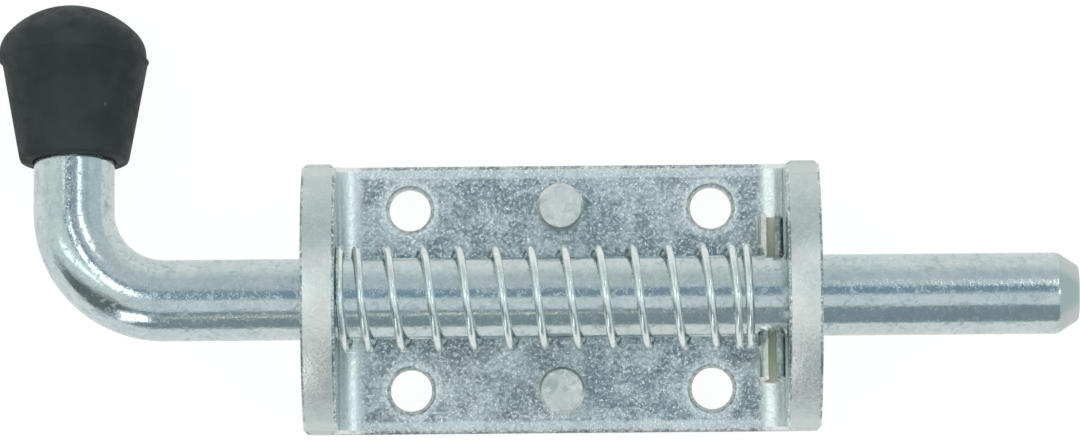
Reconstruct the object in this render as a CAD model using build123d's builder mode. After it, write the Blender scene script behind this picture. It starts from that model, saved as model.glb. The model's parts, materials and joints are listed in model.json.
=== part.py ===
"""Spring bolt: a bent rod that slides in a folded bracket against a spring.

Frame, in millimetres: the origin is the middle of the bracket's back face, which is
screwed to a door. +X points at the bolt's tip, +Y at the handle and +Z off the door.
"""

from build123d import *
from math import asin, atan2, cos, hypot, pi, radians, sin, sqrt, tan
import os

# Flat bar that the bracket is folded from
bar_width = 40.0
bar_thickness = 5.0
bracket_length = 76.5
bend_inside_radius = 3.0
rolled_edge_bevel = 0.7
cut_edge_bevel = 0.4

# Ears: the rod axis over the back face, the top over the axis, the shoulders under the top
axis_height = 17.8
ear_crown = 11.2
ear_shoulder_drop = 12.8

# Screw holes in the plate
screw_hole_diameter = 6.2
screw_pitch = 45.0
screw_edge_distance = 6.5
screw_hole_rim = 0.8

# Rod and its bent handle arm
rod_diameter = 12.0
rod_clearance = 0.3
tip_reach = 38.0
tip_chamfer_length = 3.1
tip_chamfer_depth = 2.0
arm_reach = 33.75
arm_length = 40.8
arm_bend_radius = 13.5
arm_end_chamfer = 1.0

# Knob pushed on the arm's end
knob_height = 23.7
knob_cap = 3.9
knob_rim_diameter = 16.1
knob_taper = 10.3
knob_dome_radius = 13.1
knob_edge_round = 4.4
knob_rim_chamfer = 0.7
knob_dome_steps = 6
knob_round_steps = 5
knob_table_gap = 0.2

# Slotted pin through the rod
pin_diameter = 4.0
pin_length = 25.0
pin_wall = 0.8
pin_slot = 1.25
pin_end_chamfer = 0.4
pin_ear_gap = 0.3
pin_offset = 0.4

# Compression spring: its turns close up towards both ends
spring_wire = 1.2
spring_rod_gap = 0.75
spring_end_gap = 0.1
spring_ear_turns = 1
spring_ear_pitch = 3.2
spring_active_turns = 10
spring_pin_turns = 2
spring_pin_pitch = 3.1
spring_wire_sides = 6
spring_steps_per_turn = 16

# Studs that hold the bolt open
stud_diameter = 6.9
stud_height = 8.0
stud_edge_distance = 6.4
stud_edge_bevel = 0.4
stud_shank_diameter = 5.0

# Room between pieces that are pressed together
press_gap = 0.04

# Places that follow from the sizes above
ear_inner_x = bracket_length / 2 - bar_thickness
ear_top = axis_height + ear_crown
ear_shoulder = ear_top - ear_shoulder_drop
rod_radius = rod_diameter / 2
rod_hole_radius = rod_radius + rod_clearance
tip_x = bracket_length / 2 + tip_reach
arm_x = -bracket_length / 2 - arm_reach
pin_radius = pin_diameter / 2
pin_x = ear_inner_x - pin_ear_gap - pin_radius
knob_top = arm_length + knob_cap
knob_rim = knob_top - knob_height
dome_centre = knob_top - knob_dome_radius
stud_y = bar_width / 2 - stud_edge_distance


def round_centre():
    """Centre of the round between the knob's cone and dome.

    Gives the distance along the arm from the rod axis, and the distance off the arm's axis.
    """
    slope = tan(radians(knob_taper))
    cone_start = knob_rim_diameter / 2 - knob_edge_round / cos(radians(knob_taper)) - slope * knob_rim
    square = 1 + slope**2
    half = dome_centre - slope * cone_start
    rest = dome_centre**2 + cone_start**2 - (knob_dome_radius - knob_edge_round) ** 2
    along = (half + sqrt(half**2 - square * rest)) / square
    return along, cone_start + slope * along


# The handle leans until the knob almost lies on the surface that the bracket is on
round_along, round_off = round_centre()
lean_height = axis_height - knob_table_gap - knob_edge_round
lean = asin(lean_height / hypot(round_along, round_off)) - atan2(round_off, round_along)
arm_direction = Vector(0, cos(lean), -sin(lean))
lean_normal = Vector(0, sin(lean), cos(lean))

# Planes of the leaning handle: of the bent rod, of the knob's profile and across the pin
rod_plane = Plane(origin=(0, 0, axis_height), x_dir=(1, 0, 0), z_dir=lean_normal)
knob_plane = Plane(origin=(arm_x, 0, axis_height), x_dir=(1, 0, 0), z_dir=lean_normal)
pin_plane = Plane(origin=(pin_x, 0, axis_height), x_dir=(1, 0, 0), z_dir=arm_direction)

# Bracket: the bar folded up at both ends
with BuildPart() as bracket:
    with BuildLine(Plane.XZ.offset(bar_width / 2)):
        FilletPolyline(
            (-ear_inner_x, ear_top),
            (-ear_inner_x, bar_thickness),
            (ear_inner_x, bar_thickness),
            (ear_inner_x, ear_top),
            radius=bend_inside_radius,
        )
    make_brake_formed(thickness=bar_thickness, station_widths=bar_width, side=Side.LEFT)
    # The bar's long edges are rolled soft
    long_edges = bracket.edges().filter_by(Plane.XZ).filter_by(
        lambda edge: abs(edge.center().Z - ear_top) > bar_thickness / 2
    )
    chamfer(long_edges, rolled_edge_bevel)
    # Arched tops of the ears
    with BuildSketch(Plane.YZ):
        with BuildLine():
            arch = ThreePointArc(
                (bar_width / 2, ear_shoulder), (0, ear_top), (-bar_width / 2, ear_shoulder)
            )
            Polyline(arch @ 1, (-bar_width / 2, 0), (bar_width / 2, 0), arch @ 0)
        make_face()
    extrude(amount=bracket_length, both=True, mode=Mode.INTERSECT)
    chamfer(bracket.edges().filter_by_position(Axis.Z, ear_shoulder, ear_top), cut_edge_bevel)
    # Rod holes through both ears
    with Locations(Plane(origin=(0, 0, axis_height), z_dir=(1, 0, 0))):
        Hole(rod_hole_radius)
    # Screw holes with a bevelled rim
    with Locations((0, 0, bar_thickness)):
        with GridLocations(screw_pitch, bar_width - 2 * screw_edge_distance, 2, 2):
            CounterSinkHole(
                screw_hole_diameter / 2, screw_hole_diameter / 2 + screw_hole_rim, counter_sink_angle=90
            )
    # Holes for the studs' shanks
    with Locations((0, stud_y, bar_thickness), (0, -stud_y, bar_thickness)):
        Hole(stud_shank_diameter / 2 + press_gap)
bracket.part.label = "bracket"


def make_stud(place_y):
    """A turned stud on the plate at place_y, its shank pressed in flush with the back."""
    stud_plane = Plane(origin=(0, place_y, 0), x_dir=(1, 0, 0), z_dir=(0, -1, 0))
    stud_top = bar_thickness + stud_height
    with BuildPart() as stud:
        with BuildSketch(stud_plane):
            with BuildLine():
                Polyline(
                    (0, 0),
                    (stud_shank_diameter / 2, 0),
                    (stud_shank_diameter / 2, bar_thickness),
                    (stud_diameter / 2, bar_thickness),
                    (stud_diameter / 2, stud_top),
                    (0, stud_top),
                    close=True,
                )
            make_face()
        revolve(axis=Axis((0, place_y, 0), (0, 0, 1)))
        chamfer(stud.edges().group_by(Axis.Z)[-1], stud_edge_bevel)
    return stud.part


handle_side_stud = make_stud(stud_y)
handle_side_stud.label = "handle_side_stud"
far_side_stud = make_stud(-stud_y)
far_side_stud.label = "far_side_stud"

# Bolt: the round rod bent into the handle arm
with BuildPart() as bolt:
    with BuildLine(rod_plane) as bolt_path:
        FilletPolyline(
            (tip_x, 0), (arm_x, 0), (arm_x, arm_length), radius=arm_bend_radius
        )
    with BuildSketch(Plane(origin=bolt_path.line @ 0, z_dir=bolt_path.line % 0)):
        Circle(rod_radius)
    sweep()
    tip_face = bolt.faces().sort_by(Axis.X)[-1]
    chamfer(tip_face.edges(), length=tip_chamfer_depth, length2=tip_chamfer_length, reference=tip_face)
    chamfer(bolt.faces().sort_by(Axis.Y)[-1].edges(), arm_end_chamfer)
    with Locations(pin_plane):
        Hole(pin_radius + press_gap)
bolt.part.label = "bolt"


def knob_arc(centre_off, centre_along, radius, start, end, steps):
    """Points of an arc of the knob's outline, in short chords that keep its mesh light.

    The angles are in radians, from the arm's direction outwards.
    """
    angles = [start + (end - start) * step / steps for step in range(steps + 1)]
    return [(centre_off + radius * sin(angle), centre_along + radius * cos(angle)) for angle in angles]


# Knob: a domed cone with a blind bore, turned about the arm
with BuildPart() as knob:
    bore_radius = rod_radius + press_gap
    bore_end = arm_length + press_gap
    dome_edge = atan2(round_off, round_along - dome_centre)
    cone_edge = pi / 2 + radians(knob_taper)
    dome = knob_arc(0, dome_centre, knob_dome_radius, 0, dome_edge, knob_dome_steps)
    shoulder = knob_arc(round_off, round_along, knob_edge_round, dome_edge, cone_edge, knob_round_steps)
    with BuildSketch(knob_plane) as knob_profile:
        with BuildLine():
            Polyline(
                *dome,
                *shoulder[1:],
                (knob_rim_diameter / 2, knob_rim),
                (bore_radius, knob_rim),
                (bore_radius, bore_end),
                (0, bore_end),
                close=True,
            )
        make_face()
        rim_corner = knob_profile.vertices().group_by(Axis.Y)[0].sort_by(Axis.X)[-1]
        chamfer(rim_corner, knob_rim_chamfer)
    revolve(axis=Axis((arm_x, 0, axis_height), tuple(arm_direction)))
knob.part.label = "knob"

# Spring pin: a slotted tube with chamfered ends, its slot turned off the plate
with BuildPart() as spring_pin:
    with BuildSketch(pin_plane.offset(-pin_offset)):
        Circle(pin_radius)
        Circle(pin_radius - pin_wall, mode=Mode.SUBTRACT)
        with Locations((0, -pin_radius)):
            Rectangle(pin_slot, pin_diameter - pin_wall, mode=Mode.SUBTRACT)
    extrude(amount=pin_length / 2, both=True)
    outer_ends = spring_pin.edges().filter_by(GeomType.CIRCLE).group_by(lambda edge: edge.radius)[-1]
    chamfer(outer_ends, pin_end_chamfer)
spring_pin.part.label = "spring_pin"

# Spring: one wire wound round the rod, from the left ear to the pin
coil_radius = rod_radius + spring_rod_gap + spring_wire / 2
coil_start = -ear_inner_x + spring_end_gap + spring_wire / 2
coil_end = pin_x - pin_radius - spring_end_gap - spring_wire / 2
active_length = (
    coil_end - coil_start - spring_ear_turns * spring_ear_pitch - spring_pin_turns * spring_pin_pitch
)


def coil_points():
    """Points of the winding, a right-hand helix about the rod that starts at its top."""
    pitches = [spring_ear_pitch] * spring_ear_turns
    pitches += [active_length / spring_active_turns] * spring_active_turns
    pitches += [spring_pin_pitch] * spring_pin_turns
    step_angle = 2 * pi / spring_steps_per_turn
    along = coil_start
    points = [(along, 0, axis_height + coil_radius)]
    for pitch in pitches:
        for step in range(1, spring_steps_per_turn + 1):
            along += pitch / spring_steps_per_turn
            across = -coil_radius * sin(step * step_angle)
            points.append((along, across, axis_height + coil_radius * cos(step * step_angle)))
    return points


with BuildPart() as spring:
    with BuildLine() as coil:
        Polyline(*coil_points())
    with BuildSketch(Plane(origin=coil.line @ 0, z_dir=coil.line % 0)):
        RegularPolygon(spring_wire / 2, spring_wire_sides)
    sweep(transition=Transition.RIGHT)
spring.part.label = "spring"

os.makedirs("parts", exist_ok=True)
export_step(bracket.part, "parts/bracket.step")
export_step(handle_side_stud, "parts/handle_side_stud.step")
export_step(far_side_stud, "parts/far_side_stud.step")
export_step(bolt.part, "parts/bolt.step")
export_step(knob.part, "parts/knob.step")
export_step(spring_pin.part, "parts/spring_pin.step")
export_step(spring.part, "parts/spring.step")
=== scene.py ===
"""Dresses the spring bolt: a bent rod with a cap knob in a folded bracket, pushed out by a spring.

Everything is in metres in the part's own frame: the origin is the middle of the bracket's
back face, +X points at the bolt's tip, +Y at the handle and +Z off the mounting surface.
"""

import json
import logging
import math
from collections import defaultdict
from dataclasses import dataclass
from enum import Enum

import bmesh
import bpy
from bmesh.types import BMEdge, BMesh, BMVert
from mathutils import Matrix, Vector

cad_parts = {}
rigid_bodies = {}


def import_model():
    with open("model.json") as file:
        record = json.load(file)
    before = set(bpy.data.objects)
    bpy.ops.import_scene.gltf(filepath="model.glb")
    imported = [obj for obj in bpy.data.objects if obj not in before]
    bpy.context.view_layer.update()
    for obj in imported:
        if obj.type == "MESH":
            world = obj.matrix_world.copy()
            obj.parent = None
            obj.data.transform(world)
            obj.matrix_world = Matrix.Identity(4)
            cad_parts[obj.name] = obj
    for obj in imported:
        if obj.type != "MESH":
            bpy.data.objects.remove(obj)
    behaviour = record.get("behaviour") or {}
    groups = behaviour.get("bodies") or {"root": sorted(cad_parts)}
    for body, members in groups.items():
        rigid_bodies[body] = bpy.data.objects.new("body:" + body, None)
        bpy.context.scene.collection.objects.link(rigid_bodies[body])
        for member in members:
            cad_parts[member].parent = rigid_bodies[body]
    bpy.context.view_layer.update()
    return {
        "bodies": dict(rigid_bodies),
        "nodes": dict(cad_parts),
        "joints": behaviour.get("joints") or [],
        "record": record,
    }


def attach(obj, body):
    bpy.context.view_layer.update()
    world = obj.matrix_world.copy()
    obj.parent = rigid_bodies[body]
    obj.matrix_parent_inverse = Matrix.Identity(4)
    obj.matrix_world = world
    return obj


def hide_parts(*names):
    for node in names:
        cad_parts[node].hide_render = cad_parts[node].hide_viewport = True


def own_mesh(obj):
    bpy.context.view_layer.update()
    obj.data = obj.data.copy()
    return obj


LOG = logging.getLogger("spring_bolt")

# A millimetre in metres, then the rod's height and the reach for merging doubles in millimetres
MM = 0.001
AXIS_HEIGHT = 17.8
DOUBLES = 0.001
SOLID_DOUBLES = 0.002
# The angle in degrees from which an edge of a solid parts two smooth stretches
CORNER_DEG = 25.0
# The Mix node's sockets for colours: the share and both colours in, the mixed colour out
MIX_INPUTS = (0, 6, 7)
MIX_RESULT = 2

Colour = tuple[float, float, float]
Span = tuple[float, float]
Stops = tuple[float, float, float, float]
Node = bpy.types.Node
Socket = bpy.types.NodeSocket
Outputs = bpy.types.bpy_prop_collection
Look = tuple[Socket, Socket]
Piece = bpy.types.Object


class Body(Enum):
    """The bodies that the pieces move with."""

    BRACKET = "bracket"
    SPRING = "spring"
    BOLT = "bolt"


class Panel(Enum):
    """What a panel does to the soft light, as the blend type that lays it over."""

    LAMP = "ADD"
    FLAG = "MULTIPLY"


class Sheet:
    """A node tree with short ways to add and join nodes."""

    def __init__(self, tree: bpy.types.NodeTree) -> None:
        """Starts from an empty tree."""
        self.tree = tree
        tree.nodes.clear()

    def add(self, kind: str, inputs: dict[str, object] | None = None, **settings: object) -> Node:
        """Adds a node.

        Args:
            kind: the node's type without its ShaderNode prefix.
            inputs: sockets or plain values for its inputs, by name.
            settings: its properties.
        Returns:
            The new node.
        """
        node = self.tree.nodes.new(kind if kind.startswith("Node") else "ShaderNode" + kind)
        for name, value in settings.items():
            setattr(node, name, value)
        for name, value in (inputs or {}).items():
            self.feed(node.inputs[name], value)
        return node

    def join(self, source: Socket, target: Socket) -> None:
        """Links an output to an input."""
        self.tree.links.new(source, target)

    def feed(self, target: Socket, value: object) -> None:
        """Links an input to an output, or sets it to a plain value."""
        if isinstance(value, Socket):
            self.join(value, target)
        else:
            target.default_value = value

    def maths(self, operation: str, *values: object) -> Socket:
        """Adds a Math node.

        Args:
            operation: the sum it does.
            values: its inputs, sockets or numbers.
        Returns:
            Its output.
        """
        node = self.add("Math", operation=operation)
        for socket, value in zip(node.inputs, values):
            self.feed(socket, value)
        return node.outputs[0]

    def times(self, first: object, second: object) -> Socket:
        """Multiplies two values, sockets or numbers."""
        return self.maths("MULTIPLY", first, second)

    def ramp(self, value: object, low: float, high: float, start: float = 0.0, end: float = 1.0) -> Socket:
        """Spreads the stretch from low to high of a value smoothly over start to end.

        Args:
            value: the socket that is spread.
            low: where the stretch starts.
            high: where the stretch ends.
            start: the result at low.
            end: the result at high.
        Returns:
            The result's socket.
        """
        node = self.add("MapRange", interpolation_type="SMOOTHSTEP")
        for socket, number in zip(node.inputs, (value, low, high, start, end)):
            self.feed(socket, number)
        return node.outputs[0]

    def tint(self, share: object, first: object, second: object, blend: str = "MIX") -> Socket:
        """Mixes two colours.

        Args:
            share: how much of the second colour shows.
            first: a colour or a socket.
            second: a colour or a socket.
            blend: the blend type.
        Returns:
            The mixed colour's socket.
        """
        node = self.add("Mix", data_type="RGBA", blend_type=blend)
        for index, value in zip(MIX_INPUTS, (share, first, second)):
            self.feed(node.inputs[index], (*value, 1.0) if isinstance(value, tuple) else value)
        return node.outputs[MIX_RESULT]

    def window(self, value: Socket, opens: Span, closes: Span, top: float = 1.0) -> Socket:
        """Makes a mask that fades in over one stretch of a value and out over another.

        Args:
            value: the value that is tested.
            opens: where the mask starts to show and where it shows in full.
            closes: where it starts to fade and where it is gone.
            top: how strongly it shows.
        Returns:
            The mask's socket.
        """
        opened = self.ramp(value, *opens, 0.0, top)
        return self.times(opened, self.ramp(value, *closes, 1.0, 0.0))

    def axes(self, place: Socket) -> Outputs:
        """Parts a place into the sockets X, Y and Z."""
        return self.add("SeparateXYZ", {"Vector": place}).outputs


def group_sheet(name: str, inputs: dict[str, str], outputs: dict[str, str]) -> tuple[Sheet, Node, Node]:
    """Starts a shader node group.

    Args:
        name: the group's name.
        inputs: the kind of each input by its name.
        outputs: the kind of each output by its name.
    Returns:
        The group's sheet, its input node and its output node.
    """
    tree = bpy.data.node_groups.new(name, "ShaderNodeTree")
    for label, kind in inputs.items():
        tree.interface.new_socket(label, in_out="INPUT", socket_type="NodeSocket" + kind)
    for label, kind in outputs.items():
        tree.interface.new_socket(label, in_out="OUTPUT", socket_type="NodeSocket" + kind)
    sheet = Sheet(tree)
    return sheet, sheet.add("NodeGroupInput"), sheet.add("NodeGroupOutput")


@dataclass(frozen=True)
class Noise:
    """One noise of the speckle: its scale per grain, its detail and twist, and the stretch that shows."""

    scale: float
    detail: float
    twist: float
    shows: Span


SPECKLE = {
    "Stroke": Noise(scale=0.6, detail=1.0, twist=1.5, shows=(0.02, 0.045)),
    "Patch": Noise(scale=0.9, detail=1.0, twist=0.0, shows=(0.46, 0.56)),
    "Blotch": Noise(scale=0.6, detail=3.0, twist=0.5, shows=(0.5, 0.64)),
    "Ground": Noise(scale=0.9, detail=5.0, twist=0.0, shows=(0.34, 0.66)),
    "Cloud": Noise(scale=0.11, detail=4.0, twist=0.6, shows=(0.4, 0.62)),
    "Tint": Noise(scale=0.04, detail=2.0, twist=0.0, shows=(0.35, 0.65)),
}
NOISE_ROUGHNESS = 0.65
NOISE_MIDDLE = 0.5
FLECK_RISE = 0.6
BLOTCH_DIP = 0.4
STREAK_SHOWS = (0.3, 0.7)


def speckle_group() -> bpy.types.NodeTree:
    """Makes the speckle of zinc plating: short bright strokes and dark blotches on a grainy ground.

    Returns:
        The group: Place in millimetres and Grain size in, the masks and the bump's Height out.
    """
    results = ("Fleck", "Blotch", "Ground", "Cloud", "Tint", "Height")
    sheet, given, put = group_sheet(
        "zinc_speckle", {"Place": "Vector", "Grain": "Float"}, {label: "Float" for label in results}
    )
    per_grain = sheet.maths("DIVIDE", 1.0, given.outputs["Grain"])
    masks: dict[str, Socket] = {}
    for label, kind in SPECKLE.items():
        inputs = {
            "Vector": given.outputs["Place"],
            "Scale": sheet.times(per_grain, kind.scale),
            "Detail": kind.detail,
            "Roughness": NOISE_ROUGHNESS,
            "Distortion": kind.twist,
        }
        noise = sheet.add("TexNoise", inputs, noise_type="FBM").outputs[0]
        if label == "Stroke":
            off_line = sheet.maths("ABSOLUTE", sheet.maths("SUBTRACT", noise, NOISE_MIDDLE))
            masks[label] = sheet.ramp(off_line, *kind.shows, 1.0, 0.0)
        else:
            masks[label] = sheet.ramp(noise, *kind.shows)
    masks["Fleck"] = sheet.times(masks["Stroke"], masks["Patch"])
    raised = sheet.maths("ADD", masks["Ground"], sheet.times(masks["Fleck"], FLECK_RISE))
    dipped = sheet.times(masks["Blotch"], BLOTCH_DIP)
    masks["Height"] = sheet.maths("SUBTRACT", raised, dipped)
    for label in results:
        sheet.join(masks[label], put.inputs[label])
    return sheet.tree


def streak_group() -> bpy.types.NodeTree:
    """Makes the long fine lines that drawing leaves on a rod or wire.

    Returns:
        The group: Place in millimetres with the length first in, Line and Band out.
    """
    results = {"Line": "Float", "Band": "Float"}
    sheet, given, put = group_sheet("drawn_streaks", {"Place": "Vector"}, results)
    for label, along, across, detail in (("Line", 0.4, 1.9, 4.0), ("Band", 0.05, 0.5, 2.0)):
        stretch = {"Vector": given.outputs["Place"], "Scale": (along, across, across)}
        inputs = {"Vector": sheet.add("Mapping", stretch, vector_type="POINT").outputs[0]}
        inputs |= {"Scale": 1.0, "Detail": detail}
        noise = sheet.add("TexNoise", inputs, noise_type="FBM").outputs[0]
        sheet.join(sheet.ramp(noise, *STREAK_SHOWS), put.inputs[label])
    return sheet.tree


class Effects:
    """The node groups that several finishes share, each built once."""

    def __init__(self) -> None:
        """Builds the groups."""
        self.speckle = speckle_group()
        self.streaks = streak_group()

    def speckled(self, sheet: Sheet, place: Socket, grain: float) -> Outputs:
        """Adds the speckle at a place and with a grain in millimetres, and gives its sockets."""
        return sheet.add("Group", {"Place": place, "Grain": grain}, node_tree=self.speckle).outputs


@dataclass(frozen=True)
class Finish:
    """A finish: its name, its slot in the record and a plain colour."""

    name: str
    slot: str
    colour: Colour

    def start(self) -> tuple[bpy.types.Material, Sheet, Node]:
        """Starts the material.

        Returns:
            The material, its sheet and its Principled node.
        """
        material = bpy.data.materials.new(self.name)
        material.use_nodes = True
        material.diffuse_color = (*self.colour, 1.0)
        sheet = Sheet(material.node_tree)
        surface = sheet.add("BsdfPrincipled", {"Base Color": (*self.colour, 1.0)})
        sheet.add("OutputMaterial", {"Surface": surface.outputs[0]})
        return material, sheet, surface

    def millimetres(self, sheet: Sheet, attribute: str | None = None) -> Socket:
        """Gives the place on the piece in millimetres.

        Args:
            sheet: the material's sheet.
            attribute: the name of a point attribute to read instead of Object coordinates.
        Returns:
            The place's socket.
        """
        if attribute:
            place = sheet.add("Attribute", attribute_name=attribute).outputs["Vector"]
        else:
            place = sheet.add("TexCoord").outputs["Object"]
        return sheet.add("VectorMath", {"Vector": place, "Scale": 1 / MM}, operation="SCALE").outputs[0]

    def bump(self, sheet: Sheet, surface: Node, height: Socket, depth: float) -> None:
        """Puts a bump of that depth, in millimetres, on the surface."""
        bump = sheet.add("Bump", {"Strength": 1.0, "Distance": depth * MM, "Height": height})
        sheet.join(bump.outputs[0], surface.inputs["Normal"])


@dataclass(frozen=True, kw_only=True)
class OwnLook:
    """A stretch of a piece with its own colour and roughness, and how much of the speckle it hides."""

    colour: Colour
    rough: float
    cover: float = 1.0

    def shows(self, sheet: Sheet, place: Socket) -> Socket:
        """Says where the look shows, which each kind of look does in its own way."""
        raise NotImplementedError

    def own_colour(self, sheet: Sheet, place: Socket) -> object:
        """Gives the look's colour, plain or as a socket."""
        return self.colour

    def mix(self, sheet: Sheet, place: Socket, look: Look) -> Look:
        """Lays the look over a finish.

        Args:
            sheet: the material's sheet.
            place: the place in millimetres.
            look: the finish's colour and roughness.
        Returns:
            The colour and the roughness with this look.
        """
        colour, rough = look
        shows = self.shows(sheet, place)
        mixed = sheet.tint(sheet.times(shows, self.cover), colour, self.own_colour(sheet, place))
        return mixed, sheet.maths("MAXIMUM", rough, sheet.times(shows, self.rough))


@dataclass(frozen=True, kw_only=True)
class MarkedFaces(OwnLook):
    """Faces that a FACE attribute marks with 1.

    They carry a paler painted highlight between two stretches across the piece, in millimetres.
    """

    attribute: str
    cover: float = 0.82
    painted_highlight: Colour | None = None
    low_end: Span = (0.0, 0.0)
    high_end: Span = (0.0, 0.0)

    def shows(self, sheet: Sheet, place: Socket) -> Socket:
        """Gives 1 on the marked faces."""
        return sheet.add("Attribute", attribute_name=self.attribute).outputs["Fac"]

    def own_colour(self, sheet: Sheet, place: Socket) -> object:
        """Gives the faces' colour.

        Args:
            sheet: the material's sheet.
            place: the place in millimetres.
        Returns:
            The plain colour, or a socket with the painted highlight.
        """
        if not self.painted_highlight:
            return self.colour
        # Painted highlight: the crown of the cut top is paler where it catches the light
        highlit = sheet.window(sheet.axes(place)["Y"], self.low_end, self.high_end)
        return sheet.tint(highlit, self.colour, self.painted_highlight)


@dataclass(frozen=True, kw_only=True)
class TurnedEnd(OwnLook):
    """The turned end of a rod, duller than its drawn length. Places in millimetres along the rod."""

    start: Span

    def shows(self, sheet: Sheet, place: Socket) -> Socket:
        """Gives 1 on the end, where the length along the rod comes first in the place."""
        return sheet.ramp(sheet.axes(place)["X"], *self.start, 1.0, 0.0)


@dataclass(frozen=True)
class PaintedSheen:
    """A painted sheen: paler colour where the bar's plating catches highlights. Places in millimetres.

    It lies in the two folds, along the rolled edges and round the screw holes.
    """

    colour: Colour
    fold_start: Span
    fold_end: Span
    fold_top: Span
    edge: Span
    edge_end: Span
    hole_x: float
    hole_y: float
    hole_rim: Span
    edge_share: float
    rim_share: float

    def mask(self, sheet: Sheet, place: Socket, ragged: Socket) -> Socket:
        """Gives 1 where the painted sheen lies.

        Args:
            sheet: the material's sheet.
            place: the place in millimetres.
            ragged: the grain that breaks up the rims of the holes.
        Returns:
            The mask's socket.
        """
        axes = sheet.axes(place)
        along = sheet.maths("ABSOLUTE", axes["X"])
        across = sheet.maths("ABSOLUTE", axes["Y"])
        low = sheet.ramp(axes["Z"], *self.fold_top, 1.0, 0.0)
        fold = sheet.times(sheet.window(along, self.fold_start, self.fold_end), low)
        edge = sheet.window(across, self.edge, self.edge_end, self.edge_share)
        off_x = sheet.maths("POWER", sheet.maths("SUBTRACT", along, self.hole_x), 2.0)
        off_y = sheet.maths("POWER", sheet.maths("SUBTRACT", across, self.hole_y), 2.0)
        off = sheet.maths("SQRT", sheet.maths("ADD", off_x, off_y))
        broken = sheet.ramp(ragged, 0.0, 1.0, self.rim_share / 2, self.rim_share)
        rim = sheet.times(sheet.ramp(off, *self.hole_rim, 1.0, 0.0), broken)
        return sheet.maths("MAXIMUM", fold, sheet.maths("MAXIMUM", edge, rim))


@dataclass(frozen=True)
class ZincFinish(Finish):
    """Blue-white zinc plate: dull ground with dark blotches and bright strokes, and cloudy tints.

    The grain and depth are in millimetres. The shares say how strongly blotches, flecks and
    streaks show.
    """

    shade: Colour
    dark: Colour
    blue: Colour
    depth: float
    grain: float = 0.5
    rough_low: float = 0.16
    rough_high: float = 0.26
    blotches: float = 0.4
    flecks: float = 0.2
    bright: Colour = (1.0, 1.0, 0.98)
    streaks: float = 0.0
    band_share: float = 0.35
    patch_rough: float = 0.0
    attribute: str | None = None
    places: OwnLook | None = None
    painted_sheen: PaintedSheen | None = None
    sheen_keeps: float = 0.35
    clouds: float = 0.55

    def material(self, effects: Effects) -> bpy.types.Material:
        """Makes the material.

        Args:
            effects: the shared node groups.
        Returns:
            The finished material.
        """
        material, sheet, surface = self.start()
        surface.inputs["Metallic"].default_value = 1.0
        place = self.millimetres(sheet, self.attribute)
        speckle = effects.speckled(sheet, place, self.grain)
        fleck = sheet.times(speckle["Fleck"], self.flecks)
        blotch = sheet.times(speckle["Blotch"], self.blotches)
        light = sheet.tint(self.clouds, speckle["Ground"], speckle["Cloud"])
        colour = sheet.tint(light, self.shade, self.colour)
        colour = sheet.tint(speckle["Tint"], colour, self.blue, "MULTIPLY")
        height = speckle["Height"]
        if self.streaks:
            lines = sheet.add("Group", {"Place": place}, node_tree=effects.streaks).outputs
            height = sheet.maths("ADD", height, sheet.times(lines["Line"], self.streaks))
            colour = sheet.tint(sheet.times(lines["Band"], self.band_share), colour, self.shade)
        rough = sheet.ramp(speckle["Ground"], 0.0, 1.0, self.rough_high, self.rough_low)
        # Painted sheen: paler colour in the folds, along the edges and round the holes, standing in for
        # highlights
        if self.painted_sheen:
            painted_shine = self.painted_sheen.mask(sheet, place, speckle["Ground"])
            colour = sheet.tint(painted_shine, colour, self.painted_sheen.colour)
            blotch = sheet.times(blotch, sheet.ramp(painted_shine, 0.0, 1.0, 1.0, self.sheen_keeps))
        if self.patch_rough:
            rough = sheet.maths("MAXIMUM", rough, sheet.times(speckle["Blotch"], self.patch_rough))
        colour = sheet.tint(blotch, colour, self.dark, "MULTIPLY")
        colour = sheet.tint(fleck, colour, self.bright)
        if self.places:
            colour, rough = self.places.mix(sheet, place, (colour, rough))
        sheet.join(colour, surface.inputs["Base Color"])
        sheet.join(rough, surface.inputs["Roughness"])
        self.bump(sheet, surface, height, self.depth)
        return material


@dataclass(frozen=True)
class RubberFinish(Finish):
    """Matt black moulded rubber with a fine grain and a little dust."""

    dust: Colour
    grain: float
    depth: float
    specks: float = 0.22
    speck_edge: Span = (0.03, 0.09)
    speck_share: float = 0.6
    paling: float = 1.35
    rough: Span = (0.55, 0.7)
    specular: float = 0.35

    def material(self, effects: Effects) -> bpy.types.Material:
        """Makes the material.

        Args:
            effects: the shared node groups.
        Returns:
            The finished material.
        """
        material, sheet, surface = self.start()
        place = self.millimetres(sheet)
        speckle = effects.speckled(sheet, place, self.grain)
        specks = sheet.add("TexVoronoi", {"Vector": place, "Scale": self.specks}, feature="F1")
        dusty = sheet.ramp(specks.outputs["Distance"], *self.speck_edge, self.speck_share, 0.0)
        paler = tuple(part * self.paling for part in self.colour)
        dull = sheet.tint(speckle["Tint"], self.colour, paler)
        rough = sheet.ramp(speckle["Cloud"], 0.0, 1.0, *self.rough)
        sheet.join(sheet.tint(dusty, dull, self.dust), surface.inputs["Base Color"])
        sheet.join(rough, surface.inputs["Roughness"])
        surface.inputs["Specular IOR Level"].default_value = self.specular
        self.bump(sheet, surface, speckle["Height"], self.depth)
        return material


def new_piece(name: str, shape: BMesh) -> Piece:
    """Turns a bmesh into an object of the scene.

    Args:
        name: the object's name.
        shape: the bmesh, in metres, which is freed.
    Returns:
        The new object.
    """
    mesh = bpy.data.meshes.new(name)
    shape.to_mesh(mesh)
    shape.free()
    piece = bpy.data.objects.new(name, mesh)
    bpy.context.scene.collection.objects.link(piece)
    return piece


def dress(piece: Piece, material: bpy.types.Material) -> None:
    """Gives a piece one material all over."""
    piece.data.materials.clear()
    piece.data.materials.append(material)


def shade(piece: Piece, sharp_deg: float) -> None:
    """Shades a piece smooth, apart from edges that turn by more than an angle in degrees."""
    piece.data.shade_smooth()
    piece.data.set_sharp_from_angle(angle=math.radians(sharp_deg))


def of_kind(items: list, kind: type) -> list:
    """Keeps the items of one kind out of what a bmesh operator gives back."""
    return [item for item in items if isinstance(item, kind)]


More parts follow.
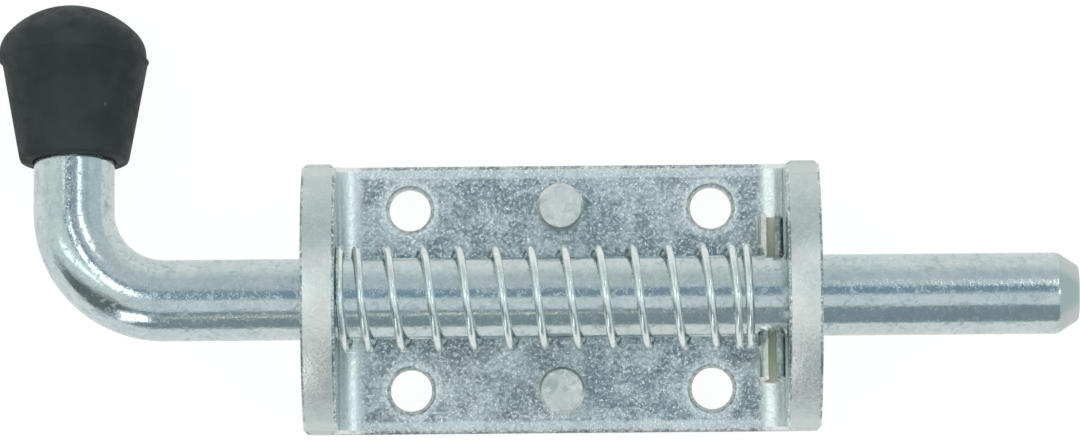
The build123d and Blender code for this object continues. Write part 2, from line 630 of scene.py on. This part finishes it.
def seat(piece: Piece, body: Body, slot: str, *nodes: str) -> None:
    """Lets a piece ride on a body and stand for nodes of the frame.

    Args:
        piece: the finished piece.
        body: the body that carries it.
        slot: the record's material slot, which is not used.
        nodes: the nodes that it stands for.
    """
    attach(piece, body.value)
    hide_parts(*nodes)
    LOG.info("%s: %d faces, rides on %s", piece.name, len(piece.data.polygons), body.value)


def smooth_regions(mesh: bpy.types.Mesh, corner: float) -> list[int]:
    """Numbers the faces of a mesh by the smooth stretch that they belong to.

    Args:
        mesh: the mesh, with its doubles merged.
        corner: the angle, in radians, from which an edge parts two stretches.
    Returns:
        The stretch's number for each face.
    """
    shape = bmesh.new()
    shape.from_mesh(mesh)
    shape.faces.ensure_lookup_table()
    found = [-1] * len(shape.faces)
    count = 0
    for first in shape.faces:
        if found[first.index] >= 0:
            continue
        queue = [first]
        found[first.index] = count
        while queue:
            face = queue.pop()
            for edge in face.edges:
                for other in edge.link_faces:
                    if found[other.index] < 0 and edge.calc_face_angle(math.pi) < corner:
                        found[other.index] = count
                        queue.append(other)
        count += 1
    shape.free()
    return found


def soften(mesh: bpy.types.Mesh, corner: float, thin: float) -> None:
    """Shades the bevels of a mesh as if they were rounded.

    A smooth stretch that is thinner than a bevel takes its normals from its neighbours.

    Args:
        mesh: the mesh, with its doubles merged.
        corner: the angle, in radians, from which an edge parts two stretches.
        thin: the area over outline length below which a stretch is a bevel, in metres.
    """
    regions = smooth_regions(mesh, corner)
    areas: defaultdict[int, float] = defaultdict(float)
    outlines: defaultdict[int, float] = defaultdict(float)
    edge_regions: defaultdict[tuple[int, int], list[int]] = defaultdict(list)
    for face in mesh.polygons:
        areas[regions[face.index]] += face.area
        for key in face.edge_keys:
            edge_regions[key].append(regions[face.index])
    for key, pair in edge_regions.items():
        if len(set(pair)) > 1:
            length = (mesh.vertices[key[0]].co - mesh.vertices[key[1]].co).length
            for region in set(pair):
                outlines[region] += length
    bevels = {region for region, area in areas.items() if area < thin * outlines[region]}
    point_normals: defaultdict[tuple[int, int], Vector] = defaultdict(Vector)
    main_normals: defaultdict[int, Vector] = defaultdict(Vector)
    for face in mesh.polygons:
        region = regions[face.index]
        for vertex in face.vertices:
            push = face.normal * face.area
            point_normals[vertex, region] += push
            if region not in bevels:
                main_normals[vertex] += push
    normals = [(0.0, 0.0, 0.0)] * len(mesh.loops)
    for face in mesh.polygons:
        region = regions[face.index]
        for index in face.loop_indices:
            vertex = mesh.loops[index].vertex_index
            normal = point_normals[vertex, region]
            if region in bevels and vertex in main_normals:
                normal = main_normals[vertex]
            normals[index] = tuple(normal.normalized())
    mesh.shade_smooth()
    mesh.normals_split_custom_set(normals)


def softened_copy(frame: dict, node: str, name: str, bevel: float = 0.0) -> Piece:
    """Copies a node of the frame as one closed mesh with softly shaded bevels.

    Args:
        frame: the loaded frame.
        node: the node's name.
        name: the copy's name.
        bevel: the area over outline length below which a face counts as a bevel, in millimetres.
    Returns:
        The copy.
    """
    shape = bmesh.new()
    shape.from_mesh(frame["nodes"][node].data)
    bmesh.ops.remove_doubles(shape, verts=shape.verts, dist=SOLID_DOUBLES * MM)
    piece = new_piece(name, shape)
    soften(piece.data, math.radians(CORNER_DEG), bevel * MM)
    return piece


@dataclass
class Bracket:
    """The folded bracket with its two studs. Sizes in millimetres."""

    finish: ZincFinish
    stud_finish: ZincFinish
    ear_shoulder: float = 15.5
    cut_slope: float = 0.35
    bevel: float = 1.0

    def mark_cut_edges(self, plate: Piece) -> None:
        """Marks the faces on top of the ears, where the bar was cut to its arch."""
        layer = plate.data.attributes.new("cut_edge", "FLOAT", "FACE")
        for face in plate.data.polygons:
            high = face.center.z > self.ear_shoulder * MM
            layer.data[face.index].value = float(high and abs(face.normal.x) < self.cut_slope)

    def build(self, frame: dict, effects: Effects) -> None:
        """Builds and dresses the bracket and the studs.

        Args:
            frame: the loaded frame.
            effects: the shared node groups.
        """
        plate = softened_copy(frame, "bracket", "folded_bracket", self.bevel)
        self.mark_cut_edges(plate)
        dress(plate, self.finish.material(effects))
        seat(plate, Body.BRACKET, self.finish.slot, "bracket")
        metal = self.stud_finish.material(effects)
        for node in ("handle_side_stud", "far_side_stud"):
            stud = softened_copy(frame, node, "turned_" + node)
            dress(stud, metal)
            seat(stud, Body.BRACKET, self.stud_finish.slot, node)


@dataclass
class BentRod:
    """The rod with its bent handle arm, its knob and its pin. Sizes in millimetres."""

    finish: ZincFinish
    pin_finish: ZincFinish
    knob_finish: RubberFinish
    radius: float = 6.0
    axis_height: float = AXIS_HEIGHT
    tip_x: float = 76.25
    tip_chamfer_length: float = 3.1
    tip_chamfer_depth: float = 2.0
    arm_x: float = -72.0
    arm_length: float = 40.8
    bend_radius: float = 13.5
    lean_deg: float = 10.437
    edge_round: float = 0.3
    edge_segments: int = 3
    sharp_deg: float = 40.0
    pin_x: float = 30.95
    pin_radius: float = 2.0
    pin_wall: float = 0.8
    bore_slope: float = 0.5
    sides: int = 72
    bend_steps: int = 28
    knob_rim: float = 21.0
    knob_top: float = 44.7
    knob_rim_radius: float = 8.05
    knob_taper: float = 10.3
    knob_dome_radius: float = 13.1
    knob_edge_round: float = 4.4
    knob_lip: float = 0.7
    lip_inset: float = 0.12
    lip_rise: float = 0.3
    knob_flash: float = 0.1
    bore_gap: float = 0.04
    mouth_gap: float = 0.25
    mouth_depth: float = 0.3
    dome_slip: float = 0.3
    dome_skew: float = 0.035
    dome_steps: int = 14
    shoulder_steps: int = 12
    knob_steps: int = 96
    knob_sharp_deg: float = 50.0

    def lean(self) -> Matrix:
        """The turn from the upright rod, with its arm along +Y, to the leaning one at its height."""
        raised = Matrix.Translation((0, 0, self.axis_height * MM))
        return raised @ Matrix.Rotation(-math.radians(self.lean_deg), 4, "X")

    def rod_place(self, point: Vector) -> tuple[float, float, float]:
        """Gives a point of the flat rod as if the rod were straight.

        Args:
            point: the point in metres, with the rod's axis in the XY plane.
        Returns:
            The length along the rod, then the point's two places across it.
        """
        turn_x = (self.arm_x + self.bend_radius) * MM
        turn_y = self.bend_radius * MM
        if point.x >= turn_x:
            return (-point.x, point.y, point.z)
        quarter = math.pi / 2 * self.bend_radius * MM
        if point.y >= turn_y:
            return (-turn_x + quarter + point.y - turn_y, point.x - self.arm_x * MM, point.z)
        offset = Vector((turn_x - point.x, turn_y - point.y))
        angle = math.atan2(offset.x, offset.y)
        return (-turn_x + angle * self.bend_radius * MM, self.bend_radius * MM - offset.length, point.z)

    def build_rod(self) -> Piece:
        """Extrudes and spins the rod from its tip to the end of its arm.

        Returns:
            The rod, dressed by the caller.
        """
        shape = bmesh.new()
        bmesh.ops.create_circle(
            shape,
            segments=self.sides,
            radius=(self.radius - self.tip_chamfer_depth) * MM,
            matrix=Matrix.Translation((self.tip_x * MM, 0, 0)) @ Matrix.Rotation(math.pi / 2, 4, "Y"),
        )
        edges = list(shape.edges)
        bmesh.ops.contextual_create(shape, geom=edges)
        wider = self.radius / (self.radius - self.tip_chamfer_depth)
        corners = list(edges)
        edges = self.pull(shape, edges, Vector((-self.tip_chamfer_length, 0, 0)), wider)
        corners += edges
        straight = self.tip_x - self.tip_chamfer_length - self.arm_x - self.bend_radius
        edges = self.pull(shape, edges, Vector((-straight, 0, 0)))
        turned = bmesh.ops.spin(
            shape,
            geom=edges,
            cent=Vector((self.arm_x + self.bend_radius, self.bend_radius, 0)) * MM,
            axis=(0, 0, -1),
            angle=math.pi / 2,
            steps=self.bend_steps,
        )
        edges = of_kind(turned["geom_last"], BMEdge)
        edges = self.pull(shape, edges, Vector((0, self.arm_length - self.bend_radius, 0)))
        bmesh.ops.contextual_create(shape, geom=edges)
        bmesh.ops.bevel(
            shape,
            geom=corners,
            offset=self.edge_round * MM,
            offset_type="OFFSET",
            affect="EDGES",
            segments=self.edge_segments,
            profile=0.5,
            material=-1,
        )
        bmesh.ops.remove_doubles(shape, verts=shape.verts, dist=DOUBLES * MM)
        bmesh.ops.recalc_face_normals(shape, faces=shape.faces)
        places = [self.rod_place(vertex.co) for vertex in shape.verts]
        bmesh.ops.transform(shape, matrix=self.lean(), verts=shape.verts)
        rod = new_piece("bent_rod", shape)
        layer = rod.data.attributes.new("rod_place", "FLOAT_VECTOR", "POINT")
        for index, place in enumerate(places):
            layer.data[index].vector = place
        shade(rod, self.sharp_deg)
        return rod

    def pull(self, shape: BMesh, edges: list, by: Vector, scale: float = 1.0) -> list:
        """Extrudes a ring of edges.

        Args:
            shape: the bmesh.
            edges: the ring's edges.
            by: how far, in millimetres.
            scale: how much wider the new ring is, about the rod's axis.
        Returns:
            The new ring's edges.
        """
        grown = bmesh.ops.extrude_edge_only(shape, edges=edges)["geom"]
        points = of_kind(grown, BMVert)
        bmesh.ops.translate(shape, vec=by * MM, verts=points)
        bmesh.ops.scale(shape, vec=(1.0, scale, scale), verts=points)
        return of_kind(grown, BMEdge)

    def knob_corner(self, inset: float) -> tuple[float, float]:
        """Finds where the knob's cone and dome meet, both moved inwards.

        Args:
            inset: how far they are moved, in millimetres.
        Returns:
            The distance along the arm and the distance off its axis.
        """
        taper = math.radians(self.knob_taper)
        slope = math.tan(taper)
        centre = self.knob_top - self.knob_dome_radius
        start = self.knob_rim_radius - inset / math.cos(taper) - slope * self.knob_rim
        square = 1 + slope**2
        half = centre - slope * start
        rest = centre**2 + start**2 - (self.knob_dome_radius - inset) ** 2
        along = (half + math.sqrt(half**2 - square * rest)) / square
        return along, start + slope * along

    def build_knob(self) -> Piece:
        """Spins the knob from its profile, a dome, a rounded shoulder and a cone.

        Returns:
            The knob, dressed by the caller.
        """
        shape = bmesh.new()
        along, off = self.knob_corner(self.knob_edge_round)
        dome_y = self.knob_top - self.knob_dome_radius
        dome_angle = math.atan2(off, along - dome_y)
        edge_angle = math.pi / 2 + math.radians(self.knob_taper) - dome_angle
        tip = shape.verts.new((0, self.knob_top * MM, 0))
        last = self.arc(shape, tip, Vector((0, dome_y, 0)), dome_angle, self.dome_steps)
        last = self.arc(shape, last, Vector((off, along, 0)), edge_angle, self.shoulder_steps)
        slope = math.tan(math.radians(self.knob_taper))
        lip = self.knob_lip
        seam_x = last.co.x / MM
        seam_y = last.co.y / MM
        flash = self.knob_flash
        bore = self.radius + self.bore_gap
        bore_end = self.arm_length + self.bore_gap
        for x, y in (
            (seam_x + flash, seam_y - 0.5 * flash),
            (seam_x + flash, seam_y - 2 * flash),
            (seam_x - 3 * flash * slope, seam_y - 3 * flash),
            (self.knob_rim_radius + slope * lip, self.knob_rim + lip),
            (self.knob_rim_radius - self.lip_inset * lip, self.knob_rim + self.lip_rise * lip),
            (self.knob_rim_radius - lip, self.knob_rim),
            (self.radius + self.mouth_gap, self.knob_rim),
            (bore, self.knob_rim + self.mouth_depth),
            (bore, bore_end),
            (0, bore_end),
        ):
            point = shape.verts.new((x * MM, y * MM, 0))
            shape.edges.new((last, point))
            last = point
        bmesh.ops.spin(
            shape,
            geom=list(shape.verts) + list(shape.edges),
            cent=(0, 0, 0),
            axis=(0, 1, 0),
            angle=2 * math.pi,
            steps=self.knob_steps,
            use_merge=True,
        )
        low = (seam_y - flash) * MM
        upper = [vertex for vertex in shape.verts if vertex.co.y > low and vertex.co.xz.length > 0]
        slip = Matrix.Identity(4)
        slip[0][1] = -self.dome_skew
        slip[0][3] = (self.dome_skew * seam_y - self.dome_slip) * MM
        bmesh.ops.transform(shape, matrix=slip, verts=upper)
        bmesh.ops.remove_doubles(shape, verts=shape.verts, dist=DOUBLES * MM)
        bmesh.ops.recalc_face_normals(shape, faces=shape.faces)
        bmesh.ops.translate(shape, vec=(self.arm_x * MM, 0, 0), verts=shape.verts)
        bmesh.ops.transform(shape, matrix=self.lean(), verts=shape.verts)
        knob = new_piece("cap_knob", shape)
        shade(knob, self.knob_sharp_deg)
        return knob

    def arc(self, shape: BMesh, start: BMVert, centre: Vector, angle: float, steps: int) -> BMVert:
        """Spins one point of a profile into an arc of edges.

        Args:
            shape: the bmesh.
            start: the arc's first point.
            centre: the arc's centre, in millimetres.
            angle: how far it turns, from the arm's axis outwards.
            steps: the number of edges.
        Returns:
            The arc's last point.
        """
        turned = bmesh.ops.spin(
            shape, geom=[start], cent=centre * MM, axis=(0, 0, -1), angle=angle, steps=steps
        )
        return of_kind(turned["geom_last"], BMVert)[0]

    def mark_bore(self, pin: Piece) -> None:
        """Marks the faces inside the pin, which show through its slot."""
        layer = pin.data.attributes.new("bore", "FLOAT", "FACE")
        axis = self.lean().to_3x3() @ Vector((0, 1, 0))
        middle = Vector((self.pin_x, 0, self.axis_height)) * MM
        reach = (self.pin_radius - self.pin_wall / 2) * MM
        for face in pin.data.polygons:
            off = face.center - middle
            off -= axis * off.dot(axis)
            sideways = abs(face.normal.dot(axis)) < self.bore_slope
            layer.data[face.index].value = float(off.length < reach and sideways)

    def build(self, frame: dict, effects: Effects) -> None:
        """Builds and dresses the rod, the pin and the knob.

        Args:
            frame: the loaded frame.
            effects: the shared node groups.
        """
        rod = self.build_rod()
        dress(rod, self.finish.material(effects))
        seat(rod, Body.BOLT, self.finish.slot, "bolt")
        pin = softened_copy(frame, "spring_pin", "slotted_pin")
        self.mark_bore(pin)
        dress(pin, self.pin_finish.material(effects))
        seat(pin, Body.BOLT, self.pin_finish.slot, "spring_pin")
        knob = self.build_knob()
        dress(knob, self.knob_finish.material(effects))
        seat(knob, Body.BOLT, self.knob_finish.slot, "knob")


@dataclass
class CoilSpring:
    """The compression spring, wound turn by turn. Sizes in millimetres."""

    finish: ZincFinish
    wire: float = 1.2
    coil_radius: float = 7.35
    axis_height: float = AXIS_HEIGHT
    start_x: float = -32.6
    start_turn: float = 0.45
    start_pitch: float = 0.1
    pitches: tuple[float, ...] = (3.15, 4.8, 5.5, 5.2, 5.4, 5.1, 4.9, 5.1, 5.0, 5.3, 5.1, 3.9, 1.8)
    end_turn: float = 0.4
    end_pitch: float = 1.35
    wire_sides: int = 14
    turn_steps: int = 48
    sharp_deg: float = 50.0
    pin_end_x: float = 28.85
    length: float = 62.0
    travel: float = 40.0

    def build(self, effects: Effects) -> None:
        """Winds and dresses the spring at rest; the real one closes up as the bolt is pulled back.

        Args:
            effects: the shared node groups.
        """
        shape = bmesh.new()
        first_x = self.start_x - self.start_turn * self.start_pitch
        centre = Vector((first_x, 0, self.axis_height + self.coil_radius)) * MM
        bmesh.ops.create_circle(
            shape,
            segments=self.wire_sides,
            radius=self.wire / 2 * MM,
            matrix=Matrix.Translation(centre) @ Matrix.Rotation(math.pi / 2, 4, "X"),
        )
        ring = list(shape.edges)
        bmesh.ops.contextual_create(shape, geom=ring)
        axis_point = Vector((0, 0, self.axis_height)) * MM
        back = Matrix.Rotation(-2 * math.pi * self.start_turn, 3, "X")
        bmesh.ops.rotate(shape, cent=axis_point, matrix=back, verts=shape.verts)
        turns = [(self.start_turn, self.start_pitch)] + [(1.0, pitch) for pitch in self.pitches]
        turns.append((self.end_turn, self.end_pitch))
        for share, pitch in turns:
            steps = round(self.turn_steps * share)
            wound = bmesh.ops.spin(
                shape,
                geom=ring,
                cent=axis_point,
                axis=(1, 0, 0),
                dvec=Vector((pitch * share / steps, 0, 0)) * MM,
                angle=2 * math.pi * share,
                steps=steps,
            )
            ring = of_kind(wound["geom_last"], BMEdge)
        bmesh.ops.contextual_create(shape, geom=ring)
        bmesh.ops.recalc_face_normals(shape, faces=shape.faces)
        spring = new_piece("coil_spring", shape)
        shade(spring, self.sharp_deg)
        dress(spring, self.finish.material(effects))
        seat(spring, Body.SPRING, self.finish.slot, "spring")
        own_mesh(spring)


@dataclass(frozen=True)
class StudioPanel:
    """A lamp or a dark flag in the soft light: its stops along X and Y, and its colour.

    The stops say where it starts to show, shows in full, starts to fade and is gone.
    """

    kind: Panel
    x: Stops
    y: Stops
    colour: Colour


@dataclass
class Studio:
    """The pale table, the soft light round it and the camera above. Lengths in millimetres.

    The bands are the light's colours by the angle about the rod, in degrees, and the panels lie over them.
    """

    aim: tuple[float, float, float] = (-3.05, 11.45, AXIS_HEIGHT)
    distance: float = 975.0
    elevation_deg: float = 88.0
    roll_deg: float = 0.5
    frame_width: float = 159.45
    sensor: float = 36.0
    clip_start: float = 10.0
    table_size: float = 3000.0
    table_gap: float = 0.3
    table_glow: float = 0.93
    table_mirrored: float = 0.74
    table_colour: Colour = (0.14, 0.14, 0.14)
    bands: tuple[tuple[float, Colour], ...] = (
        (-180, (0.8, 0.83, 0.81)),
        (-91, (0.72, 0.76, 0.74)),
        (-86, (0.27, 0.32, 0.35)),
        (-36, (0.27, 0.33, 0.37)),
        (-31, (0.72, 0.76, 0.78)),
        (-3, (0.7, 0.75, 0.77)),
        (3, (0.25, 0.34, 0.42)),
        (21, (0.25, 0.34, 0.42)),
        (28, (0.56, 0.61, 0.64)),
        (62, (0.57, 0.62, 0.64)),
        (88, (0.76, 0.8, 0.79)),
        (180, (0.8, 0.83, 0.81)),
    )
    handle_end: Colour = (0.7, 0.78, 0.77)
    tip_end: Colour = (0.56, 0.66, 0.69)
    ends_slope: float = 1.1
    ends_reach: Span = (0.05, 0.25)
    ends_all: Span = (0.5, 0.7)
    handle_end_low: Span = (-0.3, -0.1)
    tip_side: Span = (-0.1, 0.1)
    horizon: Span = (0.0, 0.1)
    panels: tuple[StudioPanel, ...] = (
        StudioPanel(Panel.FLAG, (-0.34, -0.3, -0.1, -0.08), (0.35, 0.38, 0.5, 0.56), (0.32, 0.35, 0.4)),
        StudioPanel(Panel.FLAG, (0.56, 0.6, 0.66, 0.7), (0.2, 0.3, 0.5, 0.56), (0.75, 0.78, 0.8)),
        StudioPanel(
            Panel.FLAG, (-0.95, -0.85, -0.42, -0.34), (-0.8, -0.7, -0.35, -0.25), (0.55, 0.55, 0.52)
        ),
        StudioPanel(Panel.LAMP, (-0.52, -0.48, -0.38, -0.35), (0.34, 0.37, 0.56, 0.64), (0.7, 0.7, 0.68)),
        StudioPanel(Panel.LAMP, (0.2, 0.23, 0.36, 0.44), (0.34, 0.37, 0.56, 0.64), (1.4, 1.4, 1.35)),
        StudioPanel(Panel.LAMP, (-0.3, -0.25, -0.13, -0.11), (0.0, 0.06, 0.34, 0.38), (1.8, 1.8, 1.75)),
        StudioPanel(Panel.LAMP, (-0.85, -0.75, -0.4, -0.34), (-0.07, -0.04, 0.06, 0.1), (0.8, 0.8, 0.8)),
        StudioPanel(Panel.LAMP, (0.34, 0.4, 0.72, 0.82), (-0.07, -0.04, 0.1, 0.13), (1.0, 1.0, 1.0)),
        StudioPanel(Panel.LAMP, (-0.5, -0.46, -0.22, -0.16), (-0.92, -0.88, -0.74, -0.66), (1.7, 1.7, 1.65)),
        StudioPanel(Panel.LAMP, (-0.014, -0.006, 0.022, 0.03), (-0.76, -0.74, -0.7, -0.68), (1.7, 1.5, 1.1)),
        StudioPanel(Panel.LAMP, (-0.07, -0.06, -0.05, -0.045), (-0.82, -0.8, -0.76, -0.74), (1.7, 1.5, 1.1)),
    )

    def camera(self) -> None:
        """Looks down on the bolt from the photo's angle."""
        lens = bpy.data.cameras.new("bench_camera")
        lens.sensor_fit = "HORIZONTAL"
        lens.sensor_width = self.sensor
        lens.lens = self.sensor * self.distance / self.frame_width
        lens.clip_start = self.clip_start * MM
        camera = bpy.data.objects.new("bench_camera", lens)
        bpy.context.scene.collection.objects.link(camera)
        tilt = math.radians(self.elevation_deg)
        back = Vector((0, -math.cos(tilt), math.sin(tilt)))
        right = Vector((1, 0, 0))
        up = back.cross(right)
        roll = math.radians(self.roll_deg)
        rolled_up = up * math.cos(roll) + right * math.sin(roll)
        rolled_right = right * math.cos(roll) - up * math.sin(roll)
        turn = Matrix((rolled_right, rolled_up, back)).transposed().to_4x4()
        place = (Vector(self.aim) + back * self.distance) * MM
        camera.matrix_world = Matrix.Translation(place) @ turn
        bpy.context.scene.camera = camera

    def table(self) -> None:
        """Lays the pale table under the bracket."""
        shape = bmesh.new()
        bmesh.ops.create_grid(
            shape,
            x_segments=1,
            y_segments=1,
            size=self.table_size / 2 * MM,
            matrix=Matrix.Translation((0, 0, -self.table_gap * MM)),
        )
        table = new_piece("pale_table", shape)
        material = bpy.data.materials.new("pale_table")
        material.use_nodes = True
        sheet = Sheet(material.node_tree)
        path = sheet.add("LightPath").outputs
        seen = sheet.times(path["Is Camera Ray"], self.table_glow)
        mirrored = sheet.maths("MAXIMUM", path["Is Glossy Ray"], path["Is Transmission Ray"])
        dimmed = sheet.times(mirrored, self.table_mirrored)
        glow = sheet.add("Emission", {"Strength": sheet.maths("MAXIMUM", seen, dimmed)})
        paint = sheet.add("BsdfDiffuse", {"Color": (*self.table_colour, 1.0)})
        both = sheet.add("AddShader")
        sheet.join(glow.outputs[0], both.inputs[0])
        sheet.join(paint.outputs[0], both.inputs[1])
        sheet.add("OutputMaterial", {"Surface": both.outputs[0]})
        dress(table, material)

    def light(self) -> None:
        """Surrounds the bolt with long soft lights that run beside the rod."""
        world = bpy.data.worlds.new("soft_lights")
        world.use_nodes = True
        sheet = Sheet(world.node_tree)
        axes = sheet.axes(sheet.add("TexCoord").outputs["Generated"])
        angle = sheet.maths("ARCTAN2", axes["Y"], axes["Z"])
        share = sheet.maths("ADD", sheet.maths("DIVIDE", angle, 2 * math.pi), 0.5)
        ramp = sheet.add("ValToRGB")
        sheet.join(share, ramp.inputs[0])
        stops = ramp.color_ramp.elements
        while len(stops) > 1:
            stops.remove(stops[0])
        for index, (degrees, colour) in enumerate(self.bands):
            position = degrees / 360 + 0.5
            stop = stops[0] if index == 0 else stops.new(position)
            stop.position = position
            stop.color = (*colour, 1.0)
        sideways = sheet.maths("ABSOLUTE", axes["X"])
        upright = sheet.times(sheet.maths("ABSOLUTE", axes["Y"]), self.ends_slope)
        side = sheet.ramp(sheet.maths("SUBTRACT", sideways, upright), *self.ends_reach)
        side = sheet.maths("MAXIMUM", side, sheet.ramp(sideways, *self.ends_all))
        tip_side = sheet.ramp(axes["X"], *self.tip_side)
        lit = sheet.maths("MAXIMUM", tip_side, sheet.ramp(axes["Y"], *self.handle_end_low))
        ends = sheet.tint(tip_side, self.handle_end, self.tip_end)
        bands = sheet.tint(sheet.times(side, lit), ramp.outputs[0], ends)
        above = sheet.ramp(axes["Z"], *self.horizon)
        for panel in self.panels:
            along = sheet.window(axes["X"], panel.x[:2], panel.x[2:])
            across = sheet.window(axes["Y"], panel.y[:2], panel.y[2:])
            shows = sheet.times(sheet.times(along, across), above)
            bands = sheet.tint(shows, bands, panel.colour, panel.kind.value)
        glow = sheet.add("Background", {"Color": bands})
        sheet.add("OutputWorld", {"Surface": glow.outputs[0]})
        bpy.context.scene.world = world

    def build(self) -> None:
        """Sets up the camera, the table and the light."""
        self.camera()
        self.table()
        self.light()
        bpy.context.scene.view_settings.view_transform = "Standard"


BRACKET_ZINC = ZincFinish(
    name="speckled_bracket_zinc",
    slot="plated_bracket",
    colour=(0.77, 0.83, 0.82),
    shade=(0.22, 0.28, 0.3),
    dark=(0.58, 0.62, 0.64),
    blue=(0.92, 0.97, 1.0),
    depth=0.018,
    blotches=0.5,
    flecks=1.0,
    places=MarkedFaces(
        attribute="cut_edge",
        colour=(0.69, 0.77, 0.74),
        rough=0.28,
        # Painted highlight: the crown of the ears' cut tops is paler where it catches the light
        painted_highlight=(1.0, 1.0, 0.93),
        low_end=(-17.0, -13.0),
        high_end=(5.0, 9.0),
    ),
    # Painted sheen: paler plating in the folds, on the rolled edges and round the screw holes, for
    # highlights
    painted_sheen=PaintedSheen(
        colour=(0.92, 0.98, 0.96),
        fold_start=(29.0, 30.6),
        fold_end=(33.5, 34.5),
        fold_top=(9.0, 13.0),
        edge=(17.8, 18.5),
        edge_end=(19.3, 19.6),
        hole_x=22.5,
        hole_y=13.5,
        hole_rim=(3.9, 5.0),
        edge_share=0.6,
        rim_share=0.9,
    ),
)
STUD_ZINC = ZincFinish(
    name="turned_stud_zinc",
    slot="plated_stud",
    colour=(0.86, 0.87, 0.83),
    shade=(0.7, 0.72, 0.7),
    dark=(0.76, 0.79, 0.79),
    blue=(0.98, 1.0, 1.0),
    grain=1.2,
    depth=0.02,
    rough_low=0.28,
    rough_high=0.38,
    blotches=0.9,
    flecks=0.6,
)
ROD_ZINC = ZincFinish(
    name="drawn_rod_zinc",
    slot="plated_rod",
    colour=(0.72, 0.79, 0.78),
    shade=(0.6, 0.68, 0.68),
    dark=(0.74, 0.78, 0.81),
    blue=(0.94, 0.98, 1.0),
    grain=0.7,
    depth=0.0045,
    rough_low=0.06,
    rough_high=0.11,
    streaks=0.9,
    patch_rough=0.36,
    attribute="rod_place",
    places=TurnedEnd(colour=(0.58, 0.64, 0.62), rough=0.24, start=(-73.3, -73.1)),
)
PIN_ZINC = ZincFinish(
    name="pin_zinc",
    slot="plated_pin",
    colour=(0.86, 0.87, 0.84),
    shade=(0.68, 0.7, 0.68),
    dark=(0.7, 0.7, 0.68),
    blue=(0.98, 0.99, 0.98),
    depth=0.005,
    places=MarkedFaces(attribute="bore", colour=(0.92, 0.93, 0.8), rough=0.7),
)
WIRE_ZINC = ZincFinish(
    name="bright_wire_zinc",
    slot="spring_wire",
    colour=(0.96, 1.0, 0.97),
    shade=(0.84, 0.9, 0.88),
    dark=(0.75, 0.78, 0.78),
    blue=(0.96, 0.99, 0.99),
    depth=0.004,
    rough_high=0.24,
    blotches=0.3,
    flecks=0.1,
)
KNOB_RUBBER = RubberFinish(
    name="matt_black_rubber",
    slot="black_rubber",
    colour=(0.035, 0.042, 0.044),
    dust=(0.16, 0.17, 0.17),
    grain=0.3,
    depth=0.008,
)


def main() -> None:
    """Builds the dressed spring bolt in order."""
    logging.basicConfig(level=logging.INFO, format="%(message)s")
    bpy.ops.wm.read_factory_settings(use_empty=True)
    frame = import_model()
    effects = Effects()
    Studio().build()
    Bracket(BRACKET_ZINC, STUD_ZINC).build(frame, effects)
    BentRod(ROD_ZINC, PIN_ZINC, KNOB_RUBBER).build(frame, effects)
    CoilSpring(WIRE_ZINC).build(effects)


if __name__ == "__main__":
    main()
